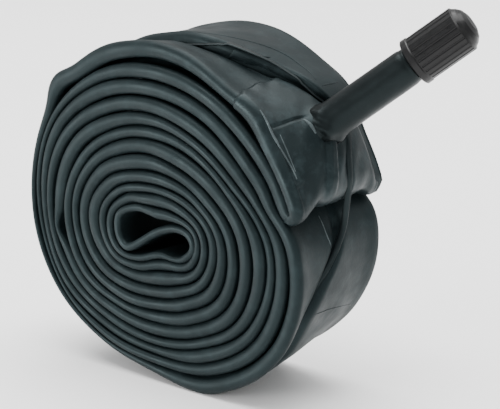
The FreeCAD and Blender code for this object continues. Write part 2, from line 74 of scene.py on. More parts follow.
# A fold groove parts the two strands of one lap.
FOLD_GROOVES = (
    (43.2, 40.5, 38.2, 37.8, 38.9, 39.6, 38.7, 36.7, 33.7, 32.7, 36.7, 40.7),
    (39.5, 32.2, 30.0, 30.0, 32.2, 35.1, 35.0, 33.5, 29.4, 28.2, 30.0, 34.1),
    (33.6, 26.4, 23.8, 23.4, 24.7, 27.5, 29.2, 28.4, 24.3, 22.7, 24.1, 26.9),
    (25.0, 19.9, 16.9, 16.8, 18.2, 21.8, 24.7, 23.3, 19.1, 16.8, 17.4, 20.0),
    (19.2, 14.2, 11.0, 10.1, 11.2, 14.4, 17.6, 16.5, 12.8, 10.3, 11.1, 14.6),
    (14.3, 8.7, 5.6, 4.9, 5.7, 8.8, 13.1, 12.4, 8.0, 5.6, 6.1, 10.2),
)
# The last strand doubles back inside the core. Its middle, from the last outer strand to the
# last inner one.
CORE_FOLD = (
    (5.5, -8.9), (6.75, -7.6), (7.1, -6.0), (6.2, -4.5), (4.3, -3.45), (1.0, -3.25),
    (-2.1, -4.05), (-5.0, -5.3), (-7.5, -6.85), (-10.0, -8.5), (-12.3, -9.75), (-13.9, -9.95),
    (-15.3, -9.1), (-16.4, -7.5), (-16.9, -5.7),
)
CORE_THICKNESS = 2.0
FLAP_ANGLE = 14.5
OUTER_END = 5 * 360 + 328.0
INNER_END = 5 * 360 + 178.0
# Where the outermost strand stands off the next one: angle, spread and gap.
STAND_OFFS = ((45.0, 8.0, 1.8), (85.0, 26.0, 2.5), (137.0, 7.0, 2.8), (291.0, 16.0, 0.9))
# A pocket opens under a strand on the left: total angle, spread and depth.
POCKET = (2 * 360 + 189.0, 7.0, 2.4)
# Behind the flap's folded end the second lap is pressed in: angle, spread and depth. The depth
# follows the same program's list at 15 degrees.
FOLD_DIP = (15.0, 7.0, 1.8)
# The far side of the roll is narrower, most of all at the lower right.
TAPER = 0.015
TAPER_EXTRA = (317.0, 42.0, 0.145)

ROLL_CENTRE_Z = 39.2
HALF_WIDTH = 16.0
STATION_SPACING = 0.9
THICKEST_EDGE = 3.5
THICKEST_OUTER_EDGE = 4.8
THINNEST_EDGE = 1.1
GROOVE = 0.16


def bell(angle, centre, width):
    """A smooth bump of height 1 at one angle, in degrees."""
    away = (angle - centre + 180) % 360 - 180
    return np.exp(-((away / width) ** 2))


def single_bell(value, centre, width):
    """A smooth bump of height 1 at one value. It doesn't come round again after a turn."""
    return np.exp(-(((value - centre) / width) ** 2))


def smooth_step(value, low, high):
    """0 up to low, 1 from high, and a smooth rise between them."""
    t = np.clip((value - low) / (high - low), 0, 1)
    return t * t * (3 - 2 * t)


def along_laps(rows, total_angle):
    """A smooth curve through the rows' numbers, lap after lap."""
    values = np.array(rows).ravel()
    place = np.clip(total_angle / 30.0, 0, len(values) - 1.001)
    first = np.floor(place).astype(int)
    t = place - first
    last = len(values) - 1
    r0, r1, r2, r3 = (values[np.clip(first + i, 0, last)] for i in (-1, 0, 1, 2))
    start = (2 * t**3 - 3 * t**2 + 1) * r1 + (t**3 - 2 * t**2 + t) * (r2 - r0) / 2
    return start + (3 * t**2 - 2 * t**3) * r2 + (t**3 - t**2) * (r3 - r1) / 2


def stand_off(total_angle):
    """How far the outermost strand stands off the next one."""
    first_lap = 1 - smooth_step(total_angle, 352, 372)
    return first_lap * sum(gap * bell(total_angle, at, spread) for at, spread, gap in STAND_OFFS)


def fold_dip(total_angle):
    at, spread, depth = FOLD_DIP
    lap_after = total_angle - 360 - at
    return depth * single_bell(lap_after, 0, spread)


def lap_groove(total_angle):
    return along_laps(LAP_GROOVES, total_angle) - fold_dip(total_angle)


def fold_groove(total_angle):
    return along_laps(FOLD_GROOVES, total_angle) - 0.5 * fold_dip(total_angle)


def strand_limits(total_angle, outer):
    """Inside and outside radius of the outer or the inner strand on the near face."""
    if outer:
        pocket_at, pocket_spread, pocket = POCKET
        shift = stand_off(total_angle)
        low = fold_groove(total_angle) + 0.5 * shift
        low = low + pocket * single_bell(total_angle, pocket_at, pocket_spread)
        return low, lap_groove(total_angle) + shift
    return lap_groove(total_angle + 360), fold_groove(total_angle)


def strand_line(total_angle, outer):
    """Middle of a strand on the near face, and how thick its edge is there."""
    low, high = strand_limits(total_angle, outer)
    radius = (low + high) / 2
    angle = np.radians(total_angle)
    slope = np.gradient(radius, angle) / radius
    thickness = (high - low) / np.sqrt(1 + slope**2) - GROOVE
    points = CORE_CENTRE + radius[:, None] * np.stack([np.cos(angle), np.sin(angle)], -1)
    thickest = np.where(outer & (total_angle < 300), THICKEST_OUTER_EDGE, THICKEST_EDGE)
    return points, np.clip(thickness, THINNEST_EDGE, thickest)


def fold(start, end, count):
    """Points round a half-circle fold from start to end, anticlockwise of start to end."""
    angle = np.pi * np.arange(1, count) / count
    middle = (start + end) / 2
    reach = (end - start) / 2
    sideways = np.array([reach[1], -reach[0]])
    return middle - np.cos(angle)[:, None] * reach + np.sin(angle)[:, None] * sideways


def smooth_through(points, per_gap):
    """A smooth, finer line through points."""
    points = np.array(points)
    padded = np.concatenate([[2 * points[0] - points[1]], points, [2 * points[-1] - points[-2]]])
    line = []
    for i in range(len(points) - 1):
        p0, p1, p2, p3 = padded[i:i + 4]
        for t in np.arange(per_gap) / per_gap:
            line.append(0.5 * (
                2 * p1 + (p2 - p0) * t + (2 * p0 - 5 * p1 + 4 * p2 - p3) * t**2
                + (3 * p1 - p0 - 3 * p2 + p3) * t**3
            ))
    line.append(points[-1])
    return np.array(line)


# ---------------------------------------------------------------- the band's line on the roll

# The line of the band's middle round the roll: angle and depth. It passes behind the valve.
# About half the places follow a separate program's reading of points picked in the photograph.
BAND_LINE = (
    (-90.0, -12.0), (-60.0, -12.5), (-30.0, -11.2), (-20.0, -7.4), (-14.0, -4.0), (-7.0, -0.8),
    (0.0, 1.0), (8.0, 1.5), (15.0, 1.9), (22.0, 2.7), (28.0, 4.2), (32.0, 5.9), (35.5, 6.8),
    (39.5, 5.8), (43.0, 4.0), (47.0, 2.3), (54.0, 0.6), (62.0, -1.3), (69.0, -4.0), (78.0, -5.9),
    (92.0, -7.3), (140.0, -8.0), (220.0, -9.0), (270.0, -12.0),
)
BAND_WIDTH = 1.6


def band_middle(degrees):
    """The Y of the band's middle at angles round the roll."""
    at, y = np.array(BAND_LINE).T
    at = np.concatenate([[at[-2] - 360], at, [at[1] + 360]])
    y = np.concatenate([[y[-2]], y, [y[1]]])
    wrapped = (np.asarray(degrees, float) + 90) % 360 - 90
    k = np.clip(np.searchsorted(at, wrapped, "right") - 1, 1, len(at) - 3)
    gap = at[k + 1] - at[k]
    t = (wrapped - at[k]) / gap
    rise = (y[k + 1] - y[k - 1]) / (at[k + 1] - at[k - 1]) * gap
    fall = (y[k + 2] - y[k]) / (at[k + 2] - at[k]) * gap
    start = (2 * t**3 - 3 * t**2 + 1) * y[k] + (t**3 - 2 * t**2 + t) * rise
    return start + (3 * t**2 - 2 * t**3) * y[k + 1] + (t**3 - t**2) * fall


# ---------------------------------------------------------------- small helpers

def wave(x, y, seed):
    """A smooth repeatable ripple between about -1 and 1."""
    total = np.zeros(np.broadcast(x, y).shape)
    for i in range(4):
        a = math.sin(seed * 12.9898 + i * 78.233) * 43758.5453
        b = math.sin(seed * 39.3461 + i * 11.135) * 24634.6345
        phase = 2 * math.pi * (a - math.floor(a))
        lean = 2 * math.pi * (b - math.floor(b))
        total = total + np.sin((1 + 0.7 * i) * (x * math.cos(lean) + y * math.sin(lean)) + phase)
    return total / 3


def mesh_object(name, vertices, faces, material, smooth=True):
    mesh = bpy.data.meshes.new(name)
    mesh.from_pydata([tuple(v) for v in vertices], [], faces)
    mesh.update()
    mesh.polygons.foreach_set("use_smooth", [smooth] * len(mesh.polygons))
    mesh.materials.append(material)
    obj = bpy.data.objects.new(name, mesh)
    bpy.context.scene.collection.objects.link(obj)
    return obj


def grid_faces(rows, columns, wrap_rows, wrap_columns):
    """Quads of a grid of points, closed along either direction."""
    faces = []
    for i in range(rows if wrap_rows else rows - 1):
        for j in range(columns if wrap_columns else columns - 1):
            k = (i + 1) % rows
            m = (j + 1) % columns
            faces.append((i * columns + j, i * columns + m, k * columns + m, k * columns + j))
    return faces


# ---------------------------------------------------------------- the tube

EDGE_ROUNDING = 1.45
EDGE_BULB_WIDTH = 2.6
MIDDLE_THICKNESS = 1.9
# Relief of the outermost strand, in mm.
# The foot of the valve swells the flap: angle, spread and height.
VALVE_DOME = (30.0, 22.0, 3.4)
# The top of the roll, where the far side bulges most: angle and spread.
TOP_PART = (64.0, 33.0)
# The outermost turn's relief fades out between these total angles, where the flap covers it.
OUTERMOST_ENDS = (366, 380)
CREASE_DEPTH = 1.1
TOP_CREASE_EXTRA = 0.6
CREASE_WIDTH = 0.9
NEAR_LOBE_HEIGHT = 1.5
FAR_LOBE_HEIGHT = 1.0
TOP_LOBE_EXTRA = 3.5
UNEVENNESS = 0.22
LIP_OVERHANG = 1.9
# How much of the crease each strand passes on to the one under it, as an exponent.
CREASE_FADE = 0.55
# along the strip, from the flap's folded end towards the valve
FLAP_DIRECTION = np.array([-0.28, 0.96])
FLAP_DRAW_BACK = 2.8
FLAP_DRAW_BACK_BEHIND_BAND = 1.2


def taper(points, y):
    """The near face's points carried to depth y, where the roll is narrower."""
    out = points - CORE_CENTRE
    angle = np.degrees(np.arctan2(out[:, 1], out[:, 0]))
    at, spread, extra = TAPER_EXTRA
    depth = (np.asarray(y) + HALF_WIDTH) / (2 * HALF_WIDTH)
    shrink = 1 - (TAPER + extra * bell(angle, at, spread)) * depth
    return CORE_CENTRE + out * shrink[:, None]


def strand_profile():
    """The strip's section. Each entry is (across, wall, edge angle).

    Across runs from -1 at the near edge, through 0 at the band's line, to 1 at the far edge.
    Wall is 1 outside and -1 inside. The edge angle runs round the folded edges.
    """
    half = (1 - np.cos(np.linspace(0, math.pi, 17))) / 2
    flat = np.concatenate([half[:-1] - 1, half])
    round_edge = np.linspace(0, math.pi, 11)[1:-1]
    profile = [(a, 1.0, None) for a in flat]
    profile += [(1.0, None, angle) for angle in round_edge]
    profile += [(a, -1.0, None) for a in flat[::-1]]
    profile += [(-1.0, None, angle) for angle in round_edge[::-1]]
    return profile


def depth_across(across, degrees, reach):
    """The Y of a place across the strip, whose flat part ends at -reach and reach."""
    middle = band_middle(degrees)
    if across < 0:
        return middle + across * (middle + reach)
    return middle + across * (reach - middle)


def winding():
    """Every station of the closed strip on the near face.

    Gives its middle, edge thickness, total angle and whether it is on the outer strand.
    """
    outer_angle = np.arange(FLAP_ANGLE, OUTER_END, 0.5)
    inner_angle = np.arange(FLAP_ANGLE, INNER_END, 0.5)
    outer, outer_thickness = strand_line(outer_angle, True)
    inner, inner_thickness = strand_line(inner_angle, False)
    core = smooth_through([outer[-1], *CORE_FOLD, inner[-1]], 8)[1:-1]
    core_angle = np.linspace(outer_angle[-1], outer_angle[-1] + 180, len(core))
    end_fold = fold(inner[0], outer[0], 9)
    fold_thickness = np.linspace(inner_thickness[0], outer_thickness[0], len(end_fold))
    points = np.concatenate([outer, core, inner[::-1], end_fold, outer[:1]])
    thickness = np.concatenate([
        outer_thickness,
        np.full(len(core), CORE_THICKNESS),
        inner_thickness[::-1],
        fold_thickness,
        outer_thickness[:1],
    ])
    angles = np.concatenate([
        outer_angle,
        core_angle,
        inner_angle[::-1],
        np.full(len(end_fold), FLAP_ANGLE),
        outer_angle[:1],
    ])
    on_outer = np.concatenate([
        np.ones(len(outer)),
        np.zeros(len(core) + len(inner) + len(end_fold)),
        np.ones(1),
    ])
    steps = np.linalg.norm(np.diff(points, axis=0), axis=1)
    travelled = np.concatenate([[0], np.cumsum(steps)])
    count = int(round(travelled[-1] / STATION_SPACING))
    at = np.arange(count) * travelled[-1] / count
    even = np.stack([np.interp(at, travelled, points[:, k]) for k in range(2)], -1)
    facts = [np.interp(at, travelled, values) for values in (thickness, angles, on_outer)]
    even = smoothed(even, 1)
    return even, smoothed(facts[0], 6), facts[1], facts[2]


def smoothed(values, passes):
    """Averages each closed row of values with its neighbours."""
    for _ in range(passes):
        values = (np.roll(values, 1, 0) + 2 * values + np.roll(values, -1, 0)) / 4
    return values


def outward(line):
    """Unit normals of a closed line, away from the core on the outer strand."""
    along = np.roll(line, -1, 0) - np.roll(line, 1, 0)
    along /= np.linalg.norm(along, axis=1, keepdims=True)
    return np.stack([along[:, 1], -along[:, 0]], -1)


def bearing(points):
    """The angle of points about the roll's axis, in degrees."""
    return np.degrees(np.arctan2(points[:, 1], points[:, 0]))


def surface_relief(line, y, total_angle, on_outer):
    """How far the outermost strand rises or sinks, in mm. The strands under it follow less."""
    degrees = bearing(line)
    strands_above = 2 * np.floor((total_angle - 6) / 360) + (1 - on_outer)
    follow = np.exp(-CREASE_FADE * np.maximum(strands_above, 0)) * (total_angle < 720)
    outermost = on_outer * (1 - smooth_step(total_angle, *OUTERMOST_ENDS))
    band_y = band_middle(degrees)
    inside_edges = np.clip(1 - (y / HALF_WIDTH) ** 6, 0, 1)
    on_flap = bell(degrees, 22, 19) * (1 - smooth_step(total_angle, 180, 300))
    at, spread, height = VALVE_DOME
    dome = height * bell(degrees, at, spread) * np.clip(1 - (y / HALF_WIDTH) ** 2, 0, 1)
    dome = dome * (1 - smooth_step(total_angle, 180, 300))
    on_top = on_top_part(degrees)
    bite = 1 - 0.9 * on_flap
    beyond = y - band_y
    crease_depth = CREASE_DEPTH + TOP_CREASE_EXTRA * on_top
    crease = -crease_depth * bite * np.exp(-((beyond / CREASE_WIDTH) ** 2))
    near_lobe = NEAR_LOBE_HEIGHT * on_top * bite * smooth_step(y, -HALF_WIDTH + 1, band_y - 1.5)
    near_lobe = near_lobe * (1 - smooth_step(beyond, -0.4, 0.4))
    lobe = smooth_step(beyond, -0.3, 1.6) * np.clip(1 - (y / (HALF_WIDTH + 3)) ** 8, 0, 1)
    far_lobe = (FAR_LOBE_HEIGHT + TOP_LOBE_EXTRA * on_top) * bite * lobe
    uneven = UNEVENNESS * wave(degrees / 9.0, y / 5.0, 8.0) * inside_edges
    second = (1 - on_outer) * (total_angle < 362) * (total_angle > FLAP_ANGLE + 12)
    fills_gap = -0.8 * stand_off(total_angle) * smooth_step(y, -13.0, -7.0)
    return outermost * (dome + near_lobe + far_lobe + uneven) + follow * crease + second * fills_gap


def on_top_part(degrees):
    """1 over the top of the roll, where the far side bulges most."""
    at, spread = TOP_PART
    return bell(degrees, at, spread)


def lip_overhang(degrees, y, total_angle, on_outer):
    """How far the far lobe's lip leans over the crease, towards the near side, in mm."""
    beyond = y - band_middle(degrees)
    outermost = on_outer * (1 - smooth_step(total_angle, *OUTERMOST_ENDS))
    lean = smooth_step(beyond, 0.1, 1.4) * (1 - smooth_step(beyond, 2.0, 9.0))
    return LIP_OVERHANG * outermost * on_top_part(degrees) * lean


def flap_shortening(degrees, y, total_angle, on_outer):
    """How far the flap's folded end is drawn back along the roll at a depth, in mm."""
    near_end = np.where(on_outer > 0.5, total_angle, np.minimum(total_angle, 400)) - FLAP_ANGLE
    amount = 1 - smooth_step(near_end, 0.0, 34.0)
    by_depth = FLAP_DRAW_BACK * smooth_step(y, -14.5, -7.5)
    by_depth = by_depth + FLAP_DRAW_BACK_BEHIND_BAND * smooth_step(y, -2.0, 6.0)
    by_depth = by_depth * (1 - 0.6 * smooth_step(y, 8.0, 15.0))
    return amount * by_depth


def near_edge_shift(total_angle, on_outer):
    """How far each strand's near edge stands in front of or behind the others, in mm."""
    lap = total_angle / 180 + on_outer
    slow = 0.35 * wave(total_angle / 38.0, lap * 2.1, 3.0)
    return slow + 0.12 * wave(total_angle / 15.0, lap * 3.3, 5.0)


def strip_surface(stations, profile, lift):
    """Points over the strip: one row for each station, one column for each profile entry.

    Lift is how far a point stands off the strip's surface. It is a number, or a function of
    the bearing and y.
    """
    near, thickness, total_angle, on_outer = stations
    half_edge = thickness / 2
    half_middle = np.minimum(half_edge, MIDDLE_THICKNESS / 2)
    rounding = np.minimum(half_edge, EDGE_ROUNDING)
    shift = near_edge_shift(total_angle, on_outer)
    normals = outward(near)
    degrees = bearing(near)
    columns = []
    for across, wall, angle in profile:
        y = depth_across(across, degrees, HALF_WIDTH - rounding)
        bulb = np.exp(-(((HALF_WIDTH - rounding - np.abs(y)) / EDGE_BULB_WIDTH) ** 2))
        on_flap = bell(degrees, 28, 24) * (total_angle < 200)
        bulb = bulb * (1 - on_flap * np.where(y > 0, 0.75, 0.45))
        rise = lift(degrees, y, angle) if callable(lift) else lift
        if angle is None:
            offset = wall * (half_middle + (half_edge - half_middle) * bulb + rise)
        else:
            offset = np.cos(angle) * (half_edge + rise)
            y = y + np.sign(across) * np.sin(angle) * (rounding + rise)
        y = y + shift * smooth_step(-y, 0, HALF_WIDTH)
        line = taper(near, y)
        lifted = offset + surface_relief(line, y, total_angle, on_outer)
        drawn_back = flap_shortening(degrees, y, total_angle, on_outer)
        y = y - lip_overhang(degrees, y, total_angle, on_outer)
        point = line + lifted[:, None] * normals + drawn_back[:, None] * FLAP_DIRECTION
        columns.append(np.stack([point[:, 0], y, point[:, 1] + ROLL_CENTRE_Z], -1))
    return np.stack(columns, 1)


def build_tube(stations, material):
    vertices = strip_surface(stations, strand_profile(), 0.0)
    rows, columns = vertices.shape[:2]
    faces = grid_faces(rows, columns, True, True)
    return mesh_object("rolled_tube", vertices.reshape(-1, 3) * MM, faces, material)


# ---------------------------------------------------------------- the valve's patch

PATCH_TOP = 58.5
PATCH_LIFT = 0.42
PATCH_FINENESS = 3
# how far the patch's hidden parts lie under the tube's surface
PATCH_SUNK = 0.25
PATCH_UNDERSIDE = 0.45
SLIT_DEPTH = 0.42
STEP_HEIGHT = 0.15
FOLD_HEIGHT = 1.1
CROSS_LINE_HEIGHT = 0.22
PUCKER_HEIGHT = 0.20
# the weld round the valve's foot: its radius, width and height
WELD = (4.4, 1.5, 0.9)


def patch_stations(stations):
    """The stations from the flap's folded end to the patch's top edge, at a finer spacing."""
    near, thickness, total_angle, _ = stations
    first = -4
    last = int(np.argmax(total_angle > PATCH_TOP + 12))
    rough = np.arange(first, last)
    fine = np.arange(first, last - 1 + 1e-6, 1 / PATCH_FINENESS)
    points = np.stack([np.interp(fine, rough, near[rough, k]) for k in range(2)], -1)
    inner = slice(1, -1)
    for _ in range(4):
        points[inner] = (points[:-2] + 2 * points[inner] + points[2:]) / 4
    return (
        points,
        np.interp(fine, rough, thickness[rough]),
        np.interp(fine, rough, total_angle[rough]),
        np.ones(len(fine)),
    )


def flat_ridge(value, middle, half_width):
    """A low wall with a flat top."""
    return 1 - smooth_step(np.abs(value - middle), 0.55 * half_width, 1.15 * half_width)


def patch_lift(degrees, y, angle):
    """How far the patch's upper face stands off the tube; below 0 it is under the surface."""
    band_y = band_middle(degrees)
    top = PATCH_TOP + 0.7 * wave(y / 2.2, 0.0, 2.0) - 5.0 * smooth_step(-y, 12.0, 17.0)
    inside = smooth_step(top - degrees, 0.0, 2.4)
    past_crease = smooth_step(y - band_y, -2.2, -0.6) * smooth_step(degrees, 36.0, 42.0)
    inside = inside * (1 - past_crease) * (1 - smooth_step(y, 11.0, 13.5))
    lift = -PATCH_SUNK + (PATCH_LIFT + PATCH_SUNK) * inside * smooth_step(degrees, 6.0, 11.0)
    if angle is not None:
        return lift
    slit = SLIT_DEPTH * single_bell(degrees, 39.6 - 0.10 * (y + 16), 0.45) * smooth_step(-y, 4.0, 6.0)
    step = STEP_HEIGHT * smooth_step(degrees, 38.6, 39.4) * smooth_step(-y, 5.0, 9.0)
    fold_over = FOLD_HEIGHT * flat_ridge(y, -0.22 * (32 - degrees), 1.5)
    fold_over = fold_over * smooth_step(degrees, 9.0, 13.0) * (1 - smooth_step(degrees, 27.0, 31.0))
    cross_line = CROSS_LINE_HEIGHT * single_bell(degrees, 18.0 + 0.25 * wave(y * 2, 0.0, 6.0), 0.6)
    cross_line = cross_line * single_bell(y, -14.2, 1.9)
    from_stem = np.hypot((degrees - 34.0) * 0.78, (y - 0.2) * 0.92)
    weld_radius, weld_width, weld_height = WELD
    weld = weld_height * single_bell(from_stem, weld_radius, weld_width)
    puckers = PUCKER_HEIGHT * wave(degrees / 3.2, y / 1.9, 7.0) * single_bell(y, 0.0, 9.0) * inside
    return lift + inside * (fold_over + cross_line + step + weld - slit) + puckers


def build_patch(stations, material):
    """A sheet bonded over the flap, with puckers, a weld round the valve, a slit and a fold."""
    over_edge = [(-1.0, None, angle) for angle in np.linspace(2.2, 0.1, 9)]
    across = [(a, 1.0, None) for a in np.linspace(-1.0, 0.93, 72)]
    profile = over_edge + across
    fine = patch_stations(stations)
    upper = strip_surface(fine, profile, patch_lift)
    lower = strip_surface(fine, profile[::-1], -PATCH_UNDERSIDE)
    vertices = np.concatenate([upper, lower], 1)
    rows, columns = vertices.shape[:2]
    faces = grid_faces(rows, columns, False, True)
    faces.append(tuple(range(columns)))
    faces.append(tuple((rows - 1) * columns + j for j in reversed(range(columns))))
    return mesh_object("valve_patch_bonded", vertices.reshape(-1, 3) * MM, faces, material)


# ---------------------------------------------------------------- beads, band and stem

def surface_tree(pieces):
    """A search tree over the outside of some pieces."""
    vertices = []
    faces = []
    for piece in pieces:
        start = len(vertices)
        vertices += [v.co.copy() for v in piece.data.vertices]
        faces += [[start + i for i in p.vertices] for p in piece.data.polygons]
    return BVHTree.FromPolygons(vertices, faces)


def outside_point(tree, degrees, y):
    """The outermost point of the roll at an angle round it and at a depth, in mm."""
    angle = math.radians(degrees)
    outwards = Vector((math.cos(angle), 0, math.sin(angle)))
    start = (outwards * 90 + Vector((0, y, ROLL_CENTRE_Z))) * MM
    place, normal, _, _ = tree.ray_cast(start, -outwards)
    return np.array(place) / MM, np.array(normal)


def sweep(name, path, section, normals, closed, material):
    """A section swept along a path. Section entries are (sideways, outwards), in mm."""
    count = len(path)
    rows = []
    for i in range(count):
        before = path[i - 1] if closed or i else path[i]
        after = path[(i + 1) % count] if closed or i < count - 1 else path[i]
        along = (after - before) / np.linalg.norm(after - before)
        up = normals[i] - along * np.dot(along, normals[i])
        up /= np.linalg.norm(up)
        side = np.cross(along, up)
        shape = section(i / count)
        rows.append([path[i] + side * sideways + up * outwards for sideways, outwards in shape])
    vertices = np.array(rows)
    columns = vertices.shape[1]
    faces = grid_faces(count, columns, closed, True)
    if not closed:
        faces.append(tuple(range(columns))[::-1])
        faces.append(tuple((count - 1) * columns + j for j in range(columns)))
    return mesh_object(name, vertices.reshape(-1, 3) * MM, faces, material)


def build_bead(tree, name, route, radius, material):
    """A raised line of rubber on the roll, through (angle, depth) places, fading at its ends."""
    line = smooth_through(np.array(route, float), 10)
    spots = [outside_point(tree, degrees, y) for degrees, y in line]
    path = np.array([place for place, _ in spots])
    normals = np.array([normal for _, normal in spots])
    for _ in range(3):
        path[1:-1] = (path[:-2] + 2 * path[1:-1] + path[2:]) / 4
    ring = np.linspace(0, 2 * math.pi, 9)[:-1]

    def section(fraction):
        size = radius * max(math.sin(math.pi * (0.04 + 0.92 * fraction)), 0.1) ** 0.4
        return [(size * math.cos(a), size * 0.8 * math.sin(a) - 0.1 * radius) for a in ring]

    return sweep(name, path, section, normals, False, material)


# where the band turns on edge below the valve, its spread, and how far it turns in radians
BAND_TWIST = (352.0, 16.0, 1.35)
BAND_RISE = 0.05
BAND_STEP = 1.5
# a taut stretch of the band is looked for over fewer steps than this either way
LONGEST_CHORD = 22
BAND_SECTION = (
    (-1.0, 0.0), (-0.9, 0.16), (0.0, 0.22), (0.9, 0.16), (1.0, 0.0), (0.9, -0.16), (0.0, -0.22),
    (-0.9, -0.16),
)


def chord_reach(first, last, before, after):
    """How far out a straight line between two places passes, at an angle between them."""
    a = before * math.radians(BAND_STEP)
    b = after * math.radians(BAND_STEP)
    return first * last * math.sin(a + b) / (first * math.sin(a) + last * math.sin(b))


def build_band(tree, material):
    """The band: it takes the shortest way round, and turns on edge below the valve."""
    degrees = np.arange(0.0, 360.0, BAND_STEP)
    depth = band_middle(degrees)
    spots = np.array([outside_point(tree, d, y)[0] for d, y in zip(degrees, depth)])
    flat = np.stack([spots[:, 0], spots[:, 2] - ROLL_CENTRE_Z], -1)
    reach = np.hypot(flat[:, 0], flat[:, 1])
    angle = np.radians(degrees)
    taut = reach.copy()
    for i in range(len(degrees)):
        for step in range(2, LONGEST_CHORD):
            a = (i - step) % len(degrees)
            for other in range(2, LONGEST_CHORD):
                b = (i + other) % len(degrees)
                taut[i] = max(taut[i], chord_reach(reach[a], reach[b], step, other))
    normals = np.stack([np.cos(angle), np.zeros(len(angle)), np.sin(angle)], -1)
    path = np.stack([taut * np.cos(angle), depth, taut * np.sin(angle) + ROLL_CENTRE_Z], -1)
    half_width = BAND_WIDTH / 2
    twist_at, twist_spread, full_twist = BAND_TWIST

    def section(fraction):
        twist = full_twist * float(bell(360 * fraction, twist_at, twist_spread))
        twist += 0.25 * math.sin(5 * 2 * math.pi * fraction)
        shape = []
        for sideways, outwards in BAND_SECTION:
            across = sideways * half_width
            shape.append((
                across * math.cos(twist) - outwards * math.sin(twist),
                BAND_RISE + across * math.sin(twist) * 0.9 + outwards * math.cos(twist),
            ))
        return shape

    return sweep("stretched_band", path, section, normals, True, material)


VALVE_BASE = np.array([33.0, -0.4, 22.9 + ROLL_CENTRE_Z])
VALVE_DIRECTION = np.array([0.695, 0.393, 0.601])
VALVE_DIRECTION /= np.linalg.norm(VALVE_DIRECTION)
# the stem rubber's outline: height along the valve and radius
STEM_OUTLINE = (
    (-3.2, 4.6), (-1.6, 4.6), (-0.4, 4.55), (0.6, 4.45), (1.5, 4.36), (2.6, 4.3), (4.0, 4.26),
    (6.0, 4.24), (9.0, 4.22), (12.0, 4.22), (15.0, 4.2), (18.0, 4.2), (20.5, 4.18), (21.6, 4.15),
    (22.4, 4.0), (22.9, 3.95), (23.2, 3.85), (23.38, 3.5), (23.38, 3.05), (22.6, 3.02),
)
# The hidden inside of the rubber, from the top of its bore down to its foot: (height, radius).
STEM_BORE = ((20.0, 3.15), (6.0, 3.15), (5.9, 1.6), (-3.0, 1.6))
# lumps at the root: angle round the stem, spread, height and size
STEM_LUMPS = (
    (200.0, 24.0, 0.3, 0.45), (262.0, 18.0, 0.8, 0.55), (318.0, 22.0, 0.2, 0.35),
    (95.0, 40.0, 0.0, 0.3),
)
STEM_SIDES = 96
MOULDING_LINE_ANGLES = (20.0, 200.0)
MOULDING_LINE_HEIGHT = 0.05


def build_stem(material):
    """The stem's rubber: lumps where it is bonded to the patch, and a moulding line."""
    sideways = np.cross([0.0, 0.0, 1.0], VALVE_DIRECTION)
    sideways /= np.linalg.norm(sideways)
    upwards = np.cross(VALVE_DIRECTION, sideways)
    around = np.arange(STEM_SIDES) * 360.0 / STEM_SIDES
    angle = np.radians(around)
    spoke = np.cos(angle)[:, None] * sideways + np.sin(angle)[:, None] * upwards
    outline = smooth_through(np.array(STEM_OUTLINE), 4)
    rows = []
    for height, radius in outline:
        near_root = math.exp(-((max(height + 0.5, 0.0) / 1.9) ** 2))
        swell = np.zeros(STEM_SIDES)
        for at, spread, middle, size in STEM_LUMPS:
            swell += size * bell(around, at, spread) * math.exp(-(((height - middle) / 1.6) ** 2))
        swell += 0.25 * near_root * wave(np.radians(around) * 3, height, 9.0)
        on_shaft = float(smooth_step(height, 2.0, 5.0)) * (height < 22.5)
        line = sum(single_bell((around - at + 180) % 360 - 180, 0, 1.6) for at in MOULDING_LINE_ANGLES)
        reach = radius + swell + MOULDING_LINE_HEIGHT * on_shaft * line
        rows.append(VALVE_BASE + VALVE_DIRECTION * height + reach[:, None] * spoke)
    for height, radius in STEM_BORE:
        rows.append(VALVE_BASE + VALVE_DIRECTION * height + radius * spoke)
    vertices = np.array(rows)
    faces = grid_faces(len(rows), STEM_SIDES, True, True)
    return mesh_object("stem_rubber_bonded", vertices.reshape(-1, 3) * MM, faces, material)


# ---------------------------------------------------------------- materials

def node_material(name):
    material = bpy.data.materials.new(name)
    material.use_nodes = True
    tree = material.node_tree
    shader = tree.nodes["Principled BSDF"]
    return material, tree, shader


def add_node(tree, kind, **inputs):
    node = tree.nodes.new(kind)
    for key, value in inputs.items():
        node.inputs[key.replace("_", " ")].default_value = value
    return node


def noise(tree, coordinates, scale, detail=3.0, roughness=0.5):
    node = add_node(tree, "ShaderNodeTexNoise", Scale=scale, Detail=detail, Roughness=roughness)
    tree.links.new(coordinates, node.inputs["Vector"])
    return node.outputs["Fac"]


def ramp(tree, value, stops):
    node = tree.nodes.new("ShaderNodeValToRGB")
    elements = node.color_ramp.elements
    while len(elements) < len(stops):
        elements.new(0.5)
    for element, (position, colour) in zip(elements, stops):
        element.position = position
        element.color = (*colour, 1.0) if len(colour) == 3 else colour
    tree.links.new(value, node.inputs["Fac"])
    return node.outputs["Color"]


def grey(level):
    return (level, level, level)


def mix_colour(tree, factor, first, second):
    node = tree.nodes.new("ShaderNodeMix")
    node.data_type = "RGBA"
    for socket, value in (("Factor", factor), ("A", first), ("B", second)):
        wanted = [s for s in node.inputs if s.name == socket]
        target = [s for s in wanted if s.type == "RGBA" or socket == "Factor"][0]
        if isinstance(value, (tuple, float)):
            target.default_value = value if isinstance(value, float) else (*value, 1.0)
        else:
            tree.links.new(value, target)
    return [s for s in node.outputs if s.type == "RGBA"][0]


def bump(tree, height, strength, distance, below=None):
    node = add_node(tree, "ShaderNodeBump", Strength=strength, Distance=distance)
    tree.links.new(height, node.inputs["Height"])
    if below is not None:
        tree.links.new(below, node.inputs["Normal"])
    return node.outputs["Normal"]


SPECK_COLOUR = (0.16, 0.18, 0.18)


